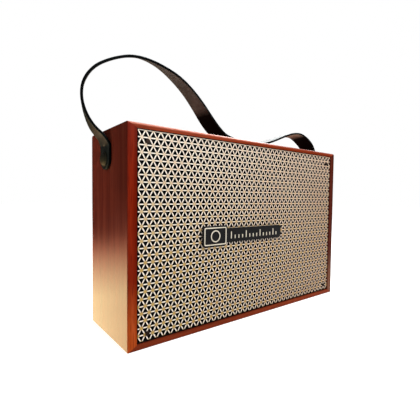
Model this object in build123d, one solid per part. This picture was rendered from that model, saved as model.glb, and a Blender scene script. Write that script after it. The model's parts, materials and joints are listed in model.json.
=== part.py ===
from build123d import *
import math
import os

os.makedirs("parts", exist_ok=True)

# Portable radio: a mitred wooden cabinet with a perforated grille, one loudspeaker,
# rear controls, a pull-up antenna and a riveted leather carrying strap.
# Millimetres. The front looks along -Y, up is +Z, the origin is the middle of the underside.

# Cabinet
cabinet_width = 250.0
cabinet_height = 160.0
cabinet_depth = 75.0
side_wall = 7.0
top_wall = 4.0
bottom_wall = 4.0
edge_radius = 0.7
top_edge_radius = 2.2       # the top board's long edges are rounder
block_width = 9.0
block_gap = 13.0      # from a side block's top to the rivet's nut
cleat_length = 120.0
cleat_size = 10.0

# Fits and gaps
panel_gap = 0.3       # around a panel set between the boards
running_gap = 0.05    # radial, a turning or sliding piece in its bush
screw_gap = 0.05      # radial, a screw in its pilot hole
through_gap = 0.25    # radial or per side, a piece through a clear hole
leather_gap = 0.3     # between the strap and the board it turns on
cap_gap = 0.1         # between the strap and the rivet's cap
over = 1.0            # how far a cut runs past a face

# Front
grille_recess = 0.5
grille_sheet = 1.0
grille_foot_gap = 1.3     # from the bottom board to the sheet's foot
cloth_sheet = 0.5
baffle_board = 8.5
grille_screw_inset = 15.3
grille_screw_rise = 6.7     # above the floor
grille_screw_drop = 8.5     # below the ceiling
badge_x = -15.3
badge_drop = 3.1      # below mid height
badge_length = 94.0
badge_height = 12.0
badge_panel_length = 25.4
badge_panel_height = 17.0
badge_sheet = 1.2
badge_standoff = 1.0
badge_stud_radius = 1.5
badge_line = 0.8
badge_relief = 0.4
badge_margin = 1.2
badge_corner = 3.0
badge_tick_pitch = 4.4
badge_tick_low = 3.0  # from a tick's foot to the bar's middle
badge_short_tick = 3.0
badge_long_tick = 6.0
badge_dial_radius = 4.87

# Screws: head radius, head height, shank radius, shank length
small_screw = (2.2, 1.6, 1.25, 3.8)
driver_screw = (2.2, 1.6, 1.25, 5.5)
grille_screw = (1.7, 1.0, 0.95, 5.5)
cover_screw = (2.8, 1.8, 1.5, 13.0)
screw_recess = 0.6
screw_slot = 1.1      # a slot's length over the head's radius
screw_round = 0.45    # the head's rounding over its height
hole_spare = 0.5      # depth left under a screw's point

# Loudspeaker, depths counted from the baffle's back
driver_inset = 5.0    # from a side block to the driver's flange
flange_radius = 54.0
flange_sheet = 2.0
driver_opening = 44.0
surround_seat = 48.0
seat_depth = 1.0
baffle_clear = 1.0    # radial, around the driver's opening
basket_radius = 31.0
basket_depth = 25.5
basket_wall = 2.0
basket_sheet = 2.0
basket_window = 36.0
window_front = 2.0    # metal left in front of a window
window_back = 3.0     # metal left behind a window
spider_ledge_depth = 21.0
spider_ledge_radius = 25.0
spider_sheet = 0.6
cone_radius = 38.0
cone_rim_depth = 2.6
cone_depth = 16.0
cone_paper = 0.7
surround_sheet = 0.6
surround_lap = 2.0    # the surround's glued rim on the cone
coil_radius = 10.0
coil_wall = 0.7
coil_length = 19.5
coil_gap = 0.6
coil_clear = 1.5      # radial, around the coil in the basket's floor
cap_radius = 11.5
cap_height = 4.0
cap_sheet = 0.5
cone_travel = 2.0
front_plate_radius = 24.0
front_plate_sheet = 4.0
magnet_radius = 27.0
magnet_bore = 16.0
magnet_height = 10.0
yoke_sheet = 4.0
driver_screw_circle = 51.0

# Strap and rivets
strap_width = 18.0
strap_leather = 2.1
strap_tip_length = 8.0      # from the rivet down to the strap's tip
strap_tab_length = 10.0     # from the rivet up to where the strap leaves the side
rivet_drop = 23.0     # below the cabinet's top
rivet_cap_radius = 5.75
rivet_cap_height = 3.0
rivet_post_radius = 2.5
rivet_nut_radius = 5.0
rivet_nut_height = 3.0

# Rear cover, controls and board
cover_recess = 8.5
cover_sheet = 3.0
slot_count = 11
slot_pitch = 7.0
slot_width = 2.5
slot_height = 44.0
control_x = 35.0
control_rise = 15.0   # above mid height
control_width = 98.0
control_height = 50.0
control_sheet = 1.5
control_corner = 3.0
knob_offset = 32.0
knob_height = 5.8
volume_knob_radius = 11.0
tuning_knob_radius = 13.0
knob_gap = 0.5
knob_edge = 0.8
knob_flutes = 24
flute_radius = 0.7
mark_width = 1.0
mark_depth = 0.4
mark_inner = 0.3      # shares of the knob's radius
mark_outer = 0.85
spindle_cover = 1.0   # knob left over the spindle's end
small_edge = 0.5
pot_size = 11.0
pot_depth = 8.0
pot_shaft_radius = 3.0
pot_shaft_end = 2.0
bush_wall = 0.45
nut_flat_radius = 5.0
nut_height = 2.0
switch_offset = 15.0
switch_travel = 2.9
slider_length = 4.0
slider_width = 3.0
slider_cap = 6.0
slider_cap_height = 2.2
slider_depth = 4.5
switch_wall = 2.0
button_offset = 9.0
button_radius = 4.0
button_proud = 1.8
button_flange = 1.2
button_sheet = 1.0
button_travel = 0.8
button_stem_radius = 1.5
tact_size = 6.0
tact_height = 4.0
tact_button_height = 0.6
light_radius = 1.5
light_proud = 0.6
socket_offset = 16.0
socket_setback = 0.2
usb_width = 9.0
usb_height = 3.2
usb_shell = 0.3
usb_depth = 6.5
usb_tongue = 0.7
usb_tongue_width = 6.6
tongue_setback = 1.0
aux_bore_radius = 1.8
aux_barrel_radius = 3.5
aux_depth = 15.0
aux_case = 8.0
board_reach = 50.0    # from the controls' middle to the board's right end
board_gap = 8.0       # from the magnet to the board's left end
board_height = 54.0
board_sheet = 1.6
board_standoff = 12.4
post_radius = 2.8
post_inset = 4.0
module_depth = 8.0
amplifier_width = 22.0
amplifier_height = 16.0
tuner_width = 26.0
tuner_height = 20.0
tuner_depth = 4.0
module_inset = 2.0
fin_groove = 1.6
fin_grooves = 3
fin_depth = 2.0
module_edge = 0.6

# Battery. The cells fill the depth that is left between the clamp's feet.
battery_gap = 1.4     # from a clamp's foot to the baffle or the cover
battery_length = 68.0
battery_inset = 11.0  # from a side block to the sleeve
clamp_width = 12.0
clamp_sheet = 1.0
clamp_foot = 5.4

# Ferrite rod
ferrite_x = 20.0
ferrite_radius = 5.0
ferrite_length = 90.0
holder_span = 70.0
holder_ring = 5.0
holder_wall = 2.0
holder_bar = 3.0
holder_drop = 3.0

# Pull-up antenna
antenna_inset = 14.0  # from the side board to the antenna's axis
antenna_wall = 0.35
housing_radius = 2.8
housing_foot_z = 18.0
antenna_stop = 6.0
antenna_step = 0.1
antenna_standoff = 0.4
rod_start = 1.0       # from the tube's foot up to the rod's
tip_radius = 3.2
tip_height = 5.0
tip_edge = 1.2
tip_gap = 0.3
clip_z = 34.0
clip_height = 8.0
clip_wall = 1.6
clip_ear = 6.0
clip_sheet = 1.0

# Leads
lead_radius = 0.7
lead_rise = 16.0      # straight run out of a part
lead_run = 18.0
lead_jog = 2.0
lead_inset = 10.0     # from the edge of the part it enters
lead_bend = 0.45      # share of the shorter run that a bend takes

# Levels that follow from the sizes
outer_x = cabinet_width / 2
inner_x = outer_x - side_wall
front_y = -cabinet_depth / 2
rear_y = cabinet_depth / 2
floor_z = bottom_wall
ceiling_z = cabinet_height - top_wall
middle_z = cabinet_height / 2
grille_y = front_y + grille_recess
cloth_y = grille_y + grille_sheet
baffle_y = cloth_y + cloth_sheet
driver_y = baffle_y + baffle_board
cover_back = rear_y - cover_recess
cover_y = cover_back - cover_sheet
control_y = cover_back + control_sheet
board_back = cover_y - board_standoff
board_y = board_back - board_sheet
shaft_fit = pot_shaft_radius + running_gap
bush_radius = shaft_fit + bush_wall
antenna_y = cover_back + antenna_standoff + housing_radius
strap_x = outer_x + leather_gap + strap_leather / 2
rivet_z = cabinet_height - rivet_drop
strap_tip_z = rivet_z - strap_tip_length
strap_tab_top = rivet_z + strap_tab_length
block_top = rivet_z - rivet_nut_radius - block_gap
driver_x = -inner_x + block_width + driver_inset + flange_radius
driver_z = middle_z
badge_z = middle_z - badge_drop
control_z = middle_z + control_rise
board_left = driver_x + magnet_radius + board_gap
board_right = control_x + board_reach
antenna_x = inner_x - antenna_inset
battery_x = inner_x - block_width - battery_inset - battery_length / 2
battery_y = (driver_y + cover_y) / 2
clamp_outside = (cover_y - driver_y) / 2 - battery_gap - clamp_foot
cell_radius = (clamp_outside - clamp_sheet - panel_gap) / 2


def block(x, y, z):
    """Box from three (low, high) pairs."""
    spans = (x, y, z)
    middle = [(low + high) / 2 for low, high in spans]
    return Pos(*middle) * Box(*[high - low for low, high in spans])


def around(middle, size):
    """The (low, high) pair of a length about its middle."""
    return (middle - size / 2, middle + size / 2)


def bar_x(y, z, radius, x_low, x_high):
    return Pos((x_low + x_high) / 2, y, z) * Rot(0, 90, 0) * Cylinder(radius, x_high - x_low)


def bar_y(x, z, radius, y_low, y_high):
    return Pos(x, (y_low + y_high) / 2, z) * Rot(90, 0, 0) * Cylinder(radius, y_high - y_low)


def bar_z(x, y, radius, z_low, z_high):
    return Pos(x, y, (z_low + z_high) / 2) * Cylinder(radius, z_high - z_low)


def slab_y(sketch, x, z, y_low, y_high):
    """A sketch, its second axis up, extruded from one depth to another."""
    return Pos(x, y_high, z) * Rot(90, 0, 0) * extrude(sketch, y_high - y_low)


def turned(points):
    """Solid of revolution about Z from (radius, height) corners."""
    corners = [Vector(radius, 0, height) for radius, height in points]
    return revolve(Face(Wire.make_polygon(corners, close=True)), Axis.Z, 360)


def screw(sizes):
    """Cross-head screw along Z, its seat at 0 and its head above."""
    head_radius, head_height, shank_radius, shank_length = sizes
    head = Pos(0, 0, head_height / 2) * Cylinder(head_radius, head_height)
    head = fillet(head.edges().sort_by(Axis.Z)[-1], head_height * screw_round)
    for turn in (0, 90):
        slot = Box(head_radius * screw_slot, screw_recess, head_height)
        head -= Pos(0, 0, head_height) * Rot(0, 0, turn) * slot
    return head + Pos(0, 0, -shank_length / 2) * Cylinder(shank_radius, shank_length)


def to_front(x, y, z):
    """Place that turns a piece's own Z to -Y."""
    return Pos(x, y, z) * Rot(90, 0, 0)


def to_rear(x, y, z):
    """Place that turns a piece's own Z to +Y."""
    return Pos(x, y, z) * Rot(-90, 0, 0)


def save(name, shape):
    """Write one node, as one solid or as a group of separate solids."""
    shape.label = name
    export_step(shape, f"parts/{name}.step")


def group(pieces):
    return Compound(children=[piece.solid() for piece in pieces])


# Places shared by a screw and its holes
def grille_screw_places():
    x = outer_x - grille_screw_inset
    heights = (floor_z + grille_screw_rise, ceiling_z - grille_screw_drop)
    return [(side * x, z) for side in (-1, 1) for z in heights]


def driver_screw_places():
    reach = driver_screw_circle * math.sqrt(0.5)
    return [(driver_x + a * reach, driver_z + b * reach) for a in (-1, 1) for b in (-1, 1)]


def block_screw_places():
    x = inner_x - block_width / 2
    heights = [floor_z + (block_top - floor_z) * share for share in (0.1, 0.5, 0.9)]
    return [(side * x, z) for side in (-1, 1) for z in heights]


def cleat_screw_places():
    z = ceiling_z - cleat_size / 2
    return [(side * cleat_length * 0.4, z) for side in (-1, 1)]


def post_places():
    z = board_height / 2 - post_inset
    ends = (board_left + post_inset, board_right - post_inset)
    return [(x, control_z + side * z) for x in ends for side in (-1, 1)]


def clamp_screw_places():
    reach = clamp_outside + clamp_foot / 2
    return [(battery_x, battery_y - reach), (battery_x, battery_y + reach)]


def clip_screw_places():
    x = housing_radius + clip_wall + clip_ear / 2
    return [(antenna_x - x, clip_z), (antenna_x + x, clip_z)]


volume_place = (control_x - knob_offset, control_z)
tuning_place = (control_x + knob_offset, control_z)
switch_place = (control_x, control_z + switch_offset)
power_place = (control_x - button_offset, control_z)
mode_place = (control_x + button_offset, control_z)
light_place = (control_x, control_z)
usb_place = (control_x - button_offset, control_z - socket_offset)
aux_place = (control_x + button_offset, control_z - socket_offset)


# Cabinet
def board_of_cabinet(corners):
    """The part of the hollow rounded box that lies inside a mitred outline."""
    shell = block(around(0, cabinet_width), around(0, cabinet_depth), (0, cabinet_height))
    shell = fillet(shell.edges().filter_by(Axis.X).group_by(Axis.Z)[-1], top_edge_radius)
    sharp = shell.edges().filter_by(Axis.X).group_by(Axis.Z)[0]
    sharp += shell.faces().sort_by(Axis.X)[0].edges() + shell.faces().sort_by(Axis.X)[-1].edges()
    shell = fillet(sharp, edge_radius)
    shell -= block(around(0, 2 * inner_x), around(0, 2 * cabinet_depth), (floor_z, ceiling_z))
    outline = Wire.make_polygon([Vector(x, -cabinet_depth, z) for x, z in corners], close=True)
    return shell & extrude(Face(outline), 2 * cabinet_depth, dir=(0, 1, 0))


def cabinet():
    top_left = (-outer_x - side_wall, cabinet_height + top_wall)
    top_right = (outer_x + side_wall, cabinet_height + top_wall)
    low_left = (-outer_x - side_wall, -bottom_wall)
    low_right = (outer_x + side_wall, -bottom_wall)
    in_top_left = (-inner_x, ceiling_z)
    in_top_right = (inner_x, ceiling_z)
    in_low_left = (-inner_x, floor_z)
    in_low_right = (inner_x, floor_z)
    top = board_of_cabinet([top_left, top_right, in_top_right, in_top_left])
    bottom = board_of_cabinet([low_left, low_right, in_low_right, in_low_left])
    left = board_of_cabinet([low_left, top_left, in_top_left, in_low_left])
    right = board_of_cabinet([low_right, top_right, in_top_right, in_low_right])
    hole_radius = housing_radius + running_gap
    top -= bar_z(antenna_x, antenna_y, hole_radius, ceiling_z - over, cabinet_height + over)
    shank = small_screw[2] + screw_gap
    depth = small_screw[3] - clamp_sheet
    for x, y in clamp_screw_places():
        bottom -= bar_z(x, y, shank, floor_z - depth, floor_z)
    post = rivet_post_radius + through_gap
    rivet_hole = bar_x(0, rivet_z, post, -outer_x - over, outer_x + over)
    save("cabinet_top", top)
    save("cabinet_bottom", bottom)
    save("cabinet_left", left - rivet_hole)
    save("cabinet_right", right - rivet_hole)


def blocks():
    """Glue blocks at the sides and a cleat under the top, which the panels screw to."""
    pilot = cover_screw[2] + screw_gap
    depth = cover_screw[3] - cover_sheet + hole_spare
    for name, side in (("side_block_left", -1), ("side_block_right", 1)):
        x = sorted((side * inner_x, side * (inner_x - block_width)))
        piece = block(x, (driver_y, cover_y), (floor_z, block_top))
        for place_x, z in block_screw_places():
            if place_x * side > 0:
                piece -= bar_y(place_x, z, pilot, cover_y - depth, cover_y)
        save(name, piece)
    cleat_z = (ceiling_z - cleat_size, ceiling_z)
    cleat = block(around(0, cleat_length), (cover_y - cleat_size, cover_y), cleat_z)
    for x, z in cleat_screw_places():
        cleat -= bar_y(x, z, pilot, cover_y - cleat_size - over, cover_y)
    save("top_cleat", cleat)


# Front
def panel(y_low, y_high):
    """A sheet that fills the cabinet's mouth, with the gap all round."""
    x = around(0, 2 * (inner_x - panel_gap))
    return block(x, (y_low, y_high), (floor_z + panel_gap, ceiling_z - panel_gap))


def front():
    baffle = panel(baffle_y, driver_y)
    baffle -= bar_y(driver_x, driver_z, driver_opening + baffle_clear, baffle_y - over, driver_y + over)
    reach = driver_screw[3] - flange_sheet + hole_spare
    for x, z in driver_screw_places():
        baffle -= bar_y(x, z, driver_screw[2] + screw_gap, driver_y - reach, driver_y)
    cloth = panel(cloth_y, baffle_y)
    grille = panel(grille_y, cloth_y)
    grille -= block(around(0, cabinet_width), (grille_y, cloth_y), (0, floor_z + grille_foot_gap))
    shank = grille_screw[2] + screw_gap
    reach = grille_y + grille_screw[3] + hole_spare
    for x, z in grille_screw_places():
        hole = bar_y(x, z, shank, grille_y - over, reach)
        baffle -= hole
        cloth -= hole
        grille -= hole
    save("baffle", baffle)
    save("grille_cloth", cloth)
    save("grille", grille)
    screws = [to_front(x, grille_y, z) * screw(grille_screw) for x, z in grille_screw_places()]
    save("grille_screws", group(screws))


def badge():
    """A bare scale plate: a framed panel and a bar with ticks, in raised lines."""
    left = badge_x - badge_length / 2
    plate_back = grille_y - badge_standoff
    plate_front = plate_back - badge_sheet
    line_front = plate_front - badge_relief
    bar = RectangleRounded(badge_length, badge_height, badge_corner)
    panel_x = left + badge_panel_length / 2
    square = RectangleRounded(badge_panel_length, badge_panel_height, badge_corner)
    plate = slab_y(bar, badge_x, badge_z, plate_front, plate_back)
    plate += slab_y(square, panel_x, badge_z, plate_front, plate_back)
    for x in (left + badge_height / 2, left + badge_length - badge_height / 2):
        plate += bar_y(x, badge_z, badge_stud_radius, plate_back, grille_y)
    save("badge_plate", plate)
    width = badge_panel_length - 2 * badge_margin
    height = badge_panel_height - 2 * badge_margin
    frame = RectangleRounded(width, height, badge_margin)
    frame -= RectangleRounded(width - 2 * badge_line, height - 2 * badge_line, badge_line)
    lines = [slab_y(frame, panel_x, badge_z, line_front, plate_front)]
    dial = Circle(badge_dial_radius) - Circle(badge_dial_radius - badge_line)
    lines.append(slab_y(dial, panel_x, badge_z, line_front, plate_front))
    first = left + badge_panel_length + badge_tick_pitch
    count = int((badge_x + badge_length / 2 - first) / badge_tick_pitch)
    tick_low = badge_z - badge_tick_low
    for index in range(count):
        tick = badge_long_tick if index % 4 == 0 else badge_short_tick
        x = around(first + index * badge_tick_pitch, badge_line)
        lines.append(block(x, (line_front, plate_front), (tick_low, tick_low + tick)))
    save("badge_lines", group(lines))


# Loudspeaker
def in_driver(shape):
    return to_rear(driver_x, driver_y, driver_z) * shape


def driver():
    inside = basket_radius - basket_wall
    seat_inside = driver_opening + basket_wall / 2
    basket = turned([
        (driver_opening, seat_depth),
        (surround_seat, seat_depth),
        (surround_seat, 0),
        (flange_radius, 0),
        (flange_radius, flange_sheet),
        (seat_inside + basket_wall, flange_sheet),
        (basket_radius, spider_ledge_depth),
        (basket_radius, basket_depth),
        (coil_radius + coil_clear, basket_depth),
        (coil_radius + coil_clear, basket_depth - basket_sheet),
        (spider_ledge_radius, basket_depth - basket_sheet),
        (spider_ledge_radius, spider_ledge_depth),
        (inside, spider_ledge_depth),
        (seat_inside, flange_sheet),
        (driver_opening, flange_sheet),
    ])
    window_z = (flange_sheet + window_front, spider_ledge_depth - window_back)
    wide = around(0, 2 * flange_radius)
    basket -= block(wide, around(0, basket_window), window_z)
    basket -= block(around(0, basket_window), wide, window_z)
    basket = in_driver(basket)
    for x, z in driver_screw_places():
        hole = driver_screw[2] + through_gap
        basket -= bar_y(x, z, hole, driver_y - over, driver_y + flange_sheet + over)
    save("driver_frame", basket)
    seat = driver_y + flange_sheet
    screws = [to_rear(x, seat, z) * screw(driver_screw) for x, z in driver_screw_places()]
    save("driver_screws", group(screws))
    motor()
    moving_cone()


def motor():
    """Front plate, ring magnet and yoke, with the coil's gap between plate and pole."""
    plate_z = (basket_depth, basket_depth + front_plate_sheet)
    magnet_z = (plate_z[1], plate_z[1] + magnet_height)
    plate = bar_z(0, 0, front_plate_radius, *plate_z)
    plate -= bar_z(0, 0, coil_radius + coil_gap, plate_z[0] - over, plate_z[1] + over)
    magnet = bar_z(0, 0, magnet_radius, *magnet_z)
    magnet -= bar_z(0, 0, magnet_bore, magnet_z[0] - over, magnet_z[1] + over)
    pole_radius = coil_radius - coil_wall - coil_gap
    yoke = bar_z(0, 0, front_plate_radius, magnet_z[1], magnet_z[1] + yoke_sheet)
    yoke += bar_z(0, 0, pole_radius, plate_z[0], magnet_z[1])
    save("driver_front_plate", in_driver(plate))
    save("driver_magnet", in_driver(magnet))
    save("driver_yoke", in_driver(yoke))


def moving_cone():
    """Cone, dust cap and coil, which move together, with the surround and spider."""
    neck = coil_radius + running_gap
    cone = turned([
        (neck, cone_depth),
        (cone_radius, cone_rim_depth),
        (cone_radius, cone_rim_depth + cone_paper),
        (neck, cone_depth + cone_paper),
    ])
    slope = (cone_depth - cone_rim_depth) / (cone_radius - neck)
    cap_base = cone_depth - (cap_radius - neck) * slope - running_gap
    sphere = (cap_radius**2 + cap_height**2) / (2 * cap_height)
    middle = cap_base - cap_height + sphere
    cap = Pos(0, 0, middle) * (Sphere(sphere) - Sphere(sphere - cap_sheet))
    cap &= bar_z(0, 0, cap_radius, cap_base - cap_height - over, cap_base)
    coil_top = cone_depth - coil_wall
    coil = bar_z(0, 0, coil_radius, coil_top, coil_top + coil_length)
    coil -= bar_z(0, 0, coil_radius - coil_wall, coil_top - over, coil_top + coil_length + over)
    spider_z = (spider_ledge_depth - spider_sheet, spider_ledge_depth)
    spider = bar_z(0, 0, basket_radius - basket_wall - panel_gap, *spider_z)
    spider -= bar_z(0, 0, neck, spider_ledge_depth - 2 * over, spider_ledge_depth + over)
    save("cone", in_driver(cone))
    save("dust_cap", in_driver(cap))
    save("voice_coil", in_driver(coil))
    save("spider", in_driver(spider))
    save("cone_surround", in_driver(surround()))


def surround():
    """Half-roll ring between the cone's rim and the frame's seat."""
    low = cone_rim_depth - running_gap
    top = low - surround_sheet
    seat = seat_depth
    seat_top = seat - surround_sheet
    inner = cone_radius - surround_lap
    outer = surround_seat - panel_gap
    middle = (cone_radius + driver_opening) / 2
    crest = top - (driver_opening - cone_radius) / 2
    roll_in = (cone_radius, 0, top)
    roll_out = (driver_opening, 0, seat_top)
    under_out = (driver_opening, 0, seat)
    under_in = (cone_radius, 0, low)
    edges = [
        Line((inner, 0, low), (inner, 0, top)),
        Line((inner, 0, top), roll_in),
        ThreePointArc(roll_in, (middle, 0, crest), roll_out),
        Line(roll_out, (outer, 0, seat_top)),
        Line((outer, 0, seat_top), (outer, 0, seat)),
        Line((outer, 0, seat), under_out),
        ThreePointArc(under_out, (middle, 0, crest + surround_sheet), under_in),
        Line(under_in, (inner, 0, low)),
    ]
    return revolve(Face(Wire(edges)), Axis.Z, 360)


# Strap. Each station of the strap's middle line is x, y, height above the cabinet's top
# and its lean in degrees, for a cabinet that reaches route_reach to each side.
route_reach = 125.0
strap_route = [
    (-129.4, 2.0, -6.5, -5),
    (-134.3, 4.4, 0.0, -9),
    (-138.8, 4.8, 8.0, -15),
    (-142.0, 4.6, 18.0, -18),
    (-142.4, 4.0, 29.0, -13),
    (-138.3, 2.6, 39.4, -4),
    (-129.5, 1.0, 48.7, 8),
    (-113.0, -0.7, 57.2, 15),
    (-97.0, -1.2, 60.2, 23),
    (-80.0, -0.9, 57.6, 20.5),
    (-64.5, 0.0, 51.5, 11),
    (-50.5, 0.4, 42.0, 4.5),
    (-38.5, 0.6, 30.5, -2),
    (-27.0, 0.7, 18.2, -6.5),
    (-13.5, 0.6, 8.0, -5.5),
    (2.5, 0.5, 5.5, 0),
    (19.0, 0.3, 5.2, 3),
    (35.5, 0.0, 5.8, 4),
    (52.0, -0.7, 10.2, 4),
    (68.0, -1.4, 15.6, -2),
    (84.0, -2.0, 21.1, -2),
    (100.0, -2.0, 22.3, -3),
    (114.3, -2.0, 16.7, -7),
    (123.0, -1.9, 10.0, -6),
    (127.8, -1.2, 2.0, -3),
    (128.3, -0.4, -6.5, -1),
]


def halved(stations):
    """The stations with one more between each two, by the four-point rule."""
    padded = [stations[0], *stations, stations[-1]]
    closer = []
    for before, start, end, after in zip(padded, padded[1:], padded[2:], padded[3:]):
        closer.append(start)
        fours = zip(before, start, end, after)
        closer.append([(9 * (b + c) - a - d) / 16 for a, b, c, d in fours])
    return [*closer, stations[-1]]


def strap_section(point, along, lean):
    """The strap's oblong section across its middle line."""
    across = (Vector(0, 1, 0) - along * along.Y).normalized()
    thick = along.cross(across)
    turn = math.radians(lean)
    width = across * math.cos(turn) + thick * math.sin(turn)
    return Plane(origin=point, x_dir=width, z_dir=along) * Rectangle(strap_width, strap_leather)


def strap_end(side):
    """What is cut from a square strap end: the two corners and the rivet's hole."""
    half = strap_width / 2
    x = around(side * strap_x, 2 * strap_leather)
    corners = block(x, around(0, 2 * strap_width), (strap_tip_z - over, strap_tip_z + half))
    corners -= bar_x(0, strap_tip_z + half, half, *x)
    return corners + bar_x(0, rivet_z, rivet_post_radius + through_gap, *x)


def strap():
    """Flat ends on the cabinet's sides and the free strap between them."""
    wider = outer_x / route_reach
    route = [(x * wider, y, cabinet_height + rise, lean) for x, y, rise, lean in strap_route]
    left = (-strap_x, 0, strap_tab_top, 0)
    right = (strap_x, 0, strap_tab_top, 0)
    stations = halved([left, *route, right])
    points = [Vector(x, y, z) for x, y, z, lean in stations]
    points = [Vector(-strap_x, 0, strap_tip_z), *points, Vector(strap_x, 0, strap_tip_z)]
    leans = [0, *(station[3] for station in stations), 0]
    along = [(after - before).normalized() for before, after in zip(points, points[2:])]
    up = Vector(0, 0, 1)
    along = [up, up, *along[1:-1], -up, -up]
    sections = [strap_section(p, t, lean) for p, t, lean in zip(points, along, leans)]
    save("carry_strap", loft(sections, ruled=True) - strap_end(-1) - strap_end(1))


def rivet():
    """Domed cap above 0 and its post below, turned in one piece about Z."""
    post_end = -(leather_gap + strap_leather + cap_gap + side_wall + rivet_nut_height)
    sphere = (rivet_cap_radius**2 + rivet_cap_height**2) / (2 * rivet_cap_height)
    slant = math.asin(rivet_cap_radius / sphere) / 2
    middle = rivet_cap_height - sphere
    shoulder = (sphere * math.sin(slant), 0, middle + sphere * math.cos(slant))
    crown = (0, 0, rivet_cap_height)
    rim = (rivet_cap_radius, 0, 0)
    neck = (rivet_post_radius, 0, 0)
    end = (rivet_post_radius, 0, post_end)
    edges = [ThreePointArc(crown, shoulder, rim)]
    corners = [rim, neck, end, (0, 0, post_end), crown]
    edges += [Line(start, end) for start, end in zip(corners, corners[1:])]
    return revolve(Face(Wire(edges)), Axis.Z, 360)


def rivets():
    """Domed rivets through the strap and the side boards, with round nuts inside."""
    cap_x = outer_x + leather_gap + strap_leather + cap_gap
    nuts = []
    for name, side in (("rivet_left", -1), ("rivet_right", 1)):
        save(name, Pos(side * cap_x, 0, rivet_z) * Rot(0, side * 90, 0) * rivet())
        nut_x = sorted((side * inner_x, side * (inner_x - rivet_nut_height)))
        nut = bar_x(0, rivet_z, rivet_nut_radius, *nut_x)
        nuts.append(nut - bar_x(0, rivet_z, rivet_post_radius + running_gap, *nut_x))
    save("rivet_nuts", group(nuts))


# Rear
def control_holes(y_low, y_high):
    """Clear holes for every control, through the cover and its plate."""
    pieces = []
    for x, z in (volume_place, tuning_place):
        pieces.append(bar_y(x, z, bush_radius + through_gap, y_low, y_high))
    for x, z in (power_place, mode_place):
        pieces.append(bar_y(x, z, button_radius + through_gap, y_low, y_high))
    pieces.append(bar_y(*light_place, light_radius + through_gap, y_low, y_high))
    pieces.append(bar_y(*aux_place, aux_barrel_radius + through_gap, y_low, y_high))
    usb = SlotOverall(usb_width + 2 * through_gap, usb_height + 2 * through_gap)
    pieces.append(slab_y(usb, *usb_place, y_low, y_high))
    x = around(switch_place[0], slot_length())
    z = around(switch_place[1], slider_width + 2 * through_gap)
    pieces.append(block(x, (y_low, y_high), z))
    return pieces


def slot_length():
    return slider_length + 2 * switch_travel + 2 * through_gap


def rear_cover():
    cover = panel(cover_y, cover_back)
    for hole in control_holes(cover_y - over, cover_back + over):
        cover -= hole
    clear = cover_screw[2] + through_gap
    for x, z in block_screw_places() + cleat_screw_places():
        cover -= bar_y(x, z, clear, cover_y - over, cover_back + over)
    for index in range(slot_count):
        x = driver_x + (index - (slot_count - 1) / 2) * slot_pitch
        slot = Rot(0, 0, 90) * SlotOverall(slot_height, slot_width)
        cover -= slab_y(slot, x, driver_z, cover_y - over, cover_back + over)
    depth = small_screw[3] - clip_sheet
    for x, z in clip_screw_places():
        cover -= bar_y(x, z, small_screw[2] + screw_gap, cover_back - depth, cover_back)
    save("rear_cover", cover)
    places = block_screw_places() + cleat_screw_places()
    screws = [to_rear(x, cover_back, z) * screw(cover_screw) for x, z in places]
    save("cover_screws", group(screws))
    plate = RectangleRounded(control_width, control_height, control_corner)
    plate = slab_y(plate, control_x, control_z, cover_back, control_y)
    for hole in control_holes(cover_back - over, control_y + over):
        plate -= hole
    save("control_plate", plate)


def knob(place, radius):
    """Fluted knob with its spindle, hollow over the bush's nut."""
    x, z = place
    low = control_y + knob_gap
    high = low + knob_height
    body = bar_y(x, z, radius, low, high)
    body = chamfer(body.edges().sort_by(Axis.Y)[-1], knob_edge)
    nut_room = nut_flat_radius / math.cos(math.pi / 6) + knob_gap
    body -= bar_y(x, z, nut_room, low - over, control_y + nut_height + 2 * knob_gap)
    for index in range(knob_flutes):
        turn = math.tau * index / knob_flutes
        flute_x = x + radius * math.cos(turn)
        flute_z = z + radius * math.sin(turn)
        body -= bar_y(flute_x, flute_z, flute_radius, low - over, high + over)
    mark_z = (z + radius * mark_inner, z + radius * mark_outer)
    body -= block(around(x, mark_width), (high - mark_depth, high + over), mark_z)
    return body + bar_y(x, z, pot_shaft_radius, board_back + pot_shaft_end, high - spindle_cover)


def pot(place):
    """Potentiometer case and threaded bush, bored for the spindle."""
    x, z = place
    case_back = board_back + pot_depth
    case = block(around(x, pot_size), (board_back, case_back), around(z, pot_size))
    case += bar_y(x, z, bush_radius, case_back, control_y + nut_height)
    bore_low = board_back + pot_shaft_end - panel_gap
    return case - bar_y(x, z, shaft_fit, bore_low, control_y + nut_height + over)


def rotary_controls():
    save("volume_pot", pot(volume_place))
    save("tuning_pot", pot(tuning_place))
    save("volume_knob", knob(volume_place, volume_knob_radius))
    save("tuning_knob", knob(tuning_place, tuning_knob_radius))
    nuts = []
    for x, z in (volume_place, tuning_place):
        ring = RegularPolygon(nut_flat_radius, 6, major_radius=False)
        ring -= Circle(bush_radius + running_gap)
        nuts.append(slab_y(ring, x, z, control_y, control_y + nut_height))
    save("pot_nuts", group(nuts))


def band_switch():
    x, z = switch_place
    case_back = board_back + pot_depth
    pocket_x = slot_length()
    pocket_z = slider_width + 2 * through_gap
    case_x = around(x, pocket_x + 2 * switch_wall)
    case = block(case_x, (board_back, case_back), around(z, pocket_z + 2 * switch_wall))
    pocket_y = (case_back - slider_depth - panel_gap, case_back + over)
    case -= block(around(x, pocket_x), pocket_y, around(z, pocket_z))
    save("band_switch", case)
    stem_y = (case_back - slider_depth, control_y + knob_gap)
    slider = block(around(x, slider_length), stem_y, around(z, slider_width))
    cap_y = (stem_y[1], stem_y[1] + slider_cap_height)
    cap = block(around(x, slider_cap), cap_y, around(z, slider_cap))
    save("band_slider", slider + chamfer(cap.edges().group_by(Axis.Y)[-1], small_edge))


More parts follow.
